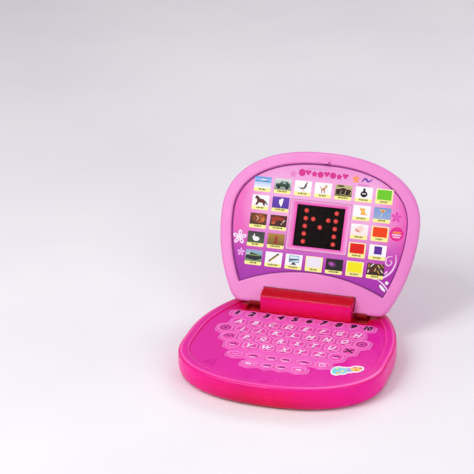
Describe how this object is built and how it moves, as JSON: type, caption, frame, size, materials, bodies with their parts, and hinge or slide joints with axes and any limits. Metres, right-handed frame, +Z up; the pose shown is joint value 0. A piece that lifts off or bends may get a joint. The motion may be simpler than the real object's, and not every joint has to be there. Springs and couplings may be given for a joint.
{
  "type": "toy laptop computer",
  "caption": "Clamshell toy laptop: rounded base with a honeycomb letter keypad, hinged lid with a picture card around a small dot-matrix screen.",
  "frame": {"origin": "middle of the open toy in plan, from the front rim to the back of the lid, on the surface that the four feet stand on", "axes": "+Z up, -Y towards the user at the front of the keypad, +X to the user's right"},
  "size_m": [0.238, 0.2764, 0.1887],
  "materials": {
    "base_pink": "glossy moulded hot-pink plastic",
    "deck_magenta": "glossy moulded magenta plastic",
    "lid_pink": "satin moulded orchid-pink plastic",
    "key_pink": "satin translucent pink plastic",
    "key_edge_pink": "satin light-pink plastic",
    "card_print": "printed plastic card, purple to pale pink",
    "card_bevel_pink": "satin pale-pink plastic",
    "smoked_window": "smoked clear plastic",
    "led_black": "black display module with red light dots",
    "foot_rubber": "matte rubber",
    "membrane_rubber": "matte silicone rubber",
    "board_green": "solder-masked circuit board",
    "speaker_black": "pressed basket and paper cone",
    "cell_sleeve": "plain printed sleeve",
    "steel": "plated steel",
    "wire_grey": "flexible insulation"
  },
  "bodies": {
    "base": {"base_lower_shell": "base_pink", "base_upper_shell": "deck_magenta", "hinge_cover": "base_pink", "foot_front_left": "foot_rubber", "foot_front_right": "foot_rubber", "foot_rear_left": "foot_rubber", "foot_rear_right": "foot_rubber", "keypad_bezel": "key_edge_pink", "key_membrane": "membrane_rubber", "main_board": "board_green", "speaker": "speaker_black", "battery_1": "cell_sleeve", "battery_2": "cell_sleeve", "battery_3": "cell_sleeve", "battery_contact_left": "steel", "battery_contact_right": "steel", "hinge_cable": "wire_grey"},
    "lid": {"lid_front_frame": "lid_pink", "lid_rear_shell": "lid_pink", "display_card": "card_print", "screen_bezel": "card_bevel_pink", "screen_window": "smoked_window", "led_board": "led_black", "lid_latch": "lid_pink", "hinge_pin_right": "steel", "hinge_pin_left": "steel"},
    "battery_door": {"battery_cover": "base_pink", "battery_cover_screw": "steel"},
    "key_a": {"key_a": "key_pink"},
    "key_b": {"key_b": "key_pink"},
    "key_c": {"key_c": "key_pink"},
    "key_d": {"key_d": "key_pink"},
    "key_e": {"key_e": "key_pink"},
    "key_f": {"key_f": "key_pink"},
    "key_g": {"key_g": "key_pink"},
    "key_h": {"key_h": "key_pink"},
    "key_i": {"key_i": "key_pink"},
    "key_j": {"key_j": "key_pink"},
    "key_k": {"key_k": "key_pink"},
    "key_l": {"key_l": "key_pink"},
    "key_m": {"key_m": "key_pink"},
    "key_n": {"key_n": "key_pink"},
    "key_o": {"key_o": "key_pink"},
    "key_p": {"key_p": "key_pink"},
    "key_q": {"key_q": "key_pink"},
    "key_r": {"key_r": "key_pink"},
    "key_s": {"key_s": "key_pink"},
    "key_t": {"key_t": "key_pink"},
    "key_u": {"key_u": "key_pink"},
    "key_v": {"key_v": "key_pink"},
    "key_w": {"key_w": "key_pink"},
    "key_x": {"key_x": "key_pink"},
    "key_y": {"key_y": "key_pink"},
    "key_z": {"key_z": "key_pink"},
    "number_key_strip": {"number_key_strip": "key_pink"},
    "function_keys_left": {"function_keys_left": "key_pink"},
    "function_keys_right": {"function_keys_right": "key_pink"},
    "function_keys_front": {"function_keys_front": "key_pink"},
    "function_keys_bottom": {"function_keys_bottom": "key_pink"}
  },
  "joints": [
    {"name": "lid_hinge", "type": "hinge", "parent": "base", "child": "lid", "pos_m": [0, 0.0428, 0.03265], "axis": [1, 0, 0], "range_deg": [0, 120]},
    {"name": "battery_door_hinge", "type": "hinge", "parent": "base", "child": "battery_door", "pos_m": [0, -0.0016, 0.0015], "axis": [1, 0, 0], "range_deg": [0, 80]},
    {"name": "key_a_press", "type": "slide", "parent": "base", "child": "key_a", "axis": [0, 0, -1], "range_m": [0, 0.0009], "stiffness_N_per_m": 150},
    {"name": "key_b_press", "type": "slide", "parent": "base", "child": "key_b", "axis": [0, 0, -1], "range_m": [0, 0.0009], "stiffness_N_per_m": 150},
    {"name": "key_c_press", "type": "slide", "parent": "base", "child": "key_c", "axis": [0, 0, -1], "range_m": [0, 0.0009], "stiffness_N_per_m": 150},
    {"name": "key_d_press", "type": "slide", "parent": "base", "child": "key_d", "axis": [0, 0, -1], "range_m": [0, 0.0009], "stiffness_N_per_m": 150},
    {"name": "key_e_press", "type": "slide", "parent": "base", "child": "key_e", "axis": [0, 0, -1], "range_m": [0, 0.0009], "stiffness_N_per_m": 150},
    {"name": "key_f_press", "type": "slide", "parent": "base", "child": "key_f", "axis": [0, 0, -1], "range_m": [0, 0.0009], "stiffness_N_per_m": 150},
    {"name": "key_g_press", "type": "slide", "parent": "base", "child": "key_g", "axis": [0, 0, -1], "range_m": [0, 0.0009], "stiffness_N_per_m": 150},
    {"name": "key_h_press", "type": "slide", "parent": "base", "child": "key_h", "axis": [0, 0, -1], "range_m": [0, 0.0009], "stiffness_N_per_m": 150},
    {"name": "key_i_press", "type": "slide", "parent": "base", "child": "key_i", "axis": [0, 0, -1], "range_m": [0, 0.0009], "stiffness_N_per_m": 150},
    {"name": "key_j_press", "type": "slide", "parent": "base", "child": "key_j", "axis": [0, 0, -1], "range_m": [0, 0.0009], "stiffness_N_per_m": 150},
    {"name": "key_k_press", "type": "slide", "parent": "base", "child": "key_k", "axis": [0, 0, -1], "range_m": [0, 0.0009], "stiffness_N_per_m": 150},
    {"name": "key_l_press", "type": "slide", "parent": "base", "child": "key_l", "axis": [0, 0, -1], "range_m": [0, 0.0009], "stiffness_N_per_m": 150},
    {"name": "key_m_press", "type": "slide", "parent": "base", "child": "key_m", "axis": [0, 0, -1], "range_m": [0, 0.0009], "stiffness_N_per_m": 150},
    {"name": "key_n_press", "type": "slide", "parent": "base", "child": "key_n", "axis": [0, 0, -1], "range_m": [0, 0.0009], "stiffness_N_per_m": 150},
    {"name": "key_o_press", "type": "slide", "parent": "base", "child": "key_o", "axis": [0, 0, -1], "range_m": [0, 0.0009], "stiffness_N_per_m": 150},
    {"name": "key_p_press", "type": "slide", "parent": "base", "child": "key_p", "axis": [0, 0, -1], "range_m": [0, 0.0009], "stiffness_N_per_m": 150},
    {"name": "key_q_press", "type": "slide", "parent": "base", "child": "key_q", "axis": [0, 0, -1], "range_m": [0, 0.0009], "stiffness_N_per_m": 150},
    {"name": "key_r_press", "type": "slide", "parent": "base", "child": "key_r", "axis": [0, 0, -1], "range_m": [0, 0.0009], "stiffness_N_per_m": 150},
    {"name": "key_s_press", "type": "slide", "parent": "base", "child": "key_s", "axis": [0, 0, -1], "range_m": [0, 0.0009], "stiffness_N_per_m": 150},
    {"name": "key_t_press", "type": "slide", "parent": "base", "child": "key_t", "axis": [0, 0, -1], "range_m": [0, 0.0009], "stiffness_N_per_m": 150},
    {"name": "key_u_press", "type": "slide", "parent": "base", "child": "key_u", "axis": [0, 0, -1], "range_m": [0, 0.0009], "stiffness_N_per_m": 150},
    {"name": "key_v_press", "type": "slide", "parent": "base", "child": "key_v", "axis": [0, 0, -1], "range_m": [0, 0.0009], "stiffness_N_per_m": 150},
    {"name": "key_w_press", "type": "slide", "parent": "base", "child": "key_w", "axis": [0, 0, -1], "range_m": [0, 0.0009], "stiffness_N_per_m": 150},
    {"name": "key_x_press", "type": "slide", "parent": "base", "child": "key_x", "axis": [0, 0, -1], "range_m": [0, 0.0009], "stiffness_N_per_m": 150},
    {"name": "key_y_press", "type": "slide", "parent": "base", "child": "key_y", "axis": [0, 0, -1], "range_m": [0, 0.0009], "stiffness_N_per_m": 150},
    {"name": "key_z_press", "type": "slide", "parent": "base", "child": "key_z", "axis": [0, 0, -1], "range_m": [0, 0.0009], "stiffness_N_per_m": 150},
    {"name": "number_key_strip_press", "type": "slide", "parent": "base", "child": "number_key_strip", "axis": [0, 0, -1], "range_m": [0, 0.0009], "stiffness_N_per_m": 400},
    {"name": "function_keys_left_press", "type": "slide", "parent": "base", "child": "function_keys_left", "axis": [0, 0, -1], "range_m": [0, 0.0009], "stiffness_N_per_m": 400},
    {"name": "function_keys_right_press", "type": "slide", "parent": "base", "child": "function_keys_right", "axis": [0, 0, -1], "range_m": [0, 0.0009], "stiffness_N_per_m": 400},
    {"name": "function_keys_front_press", "type": "slide", "parent": "base", "child": "function_keys_front", "axis": [0, 0, -1], "range_m": [0, 0.0009], "stiffness_N_per_m": 400},
    {"name": "function_keys_bottom_press", "type": "slide", "parent": "base", "child": "function_keys_bottom", "axis": [0, 0, -1], "range_m": [0, 0.0009], "stiffness_N_per_m": 400}
  ]
}
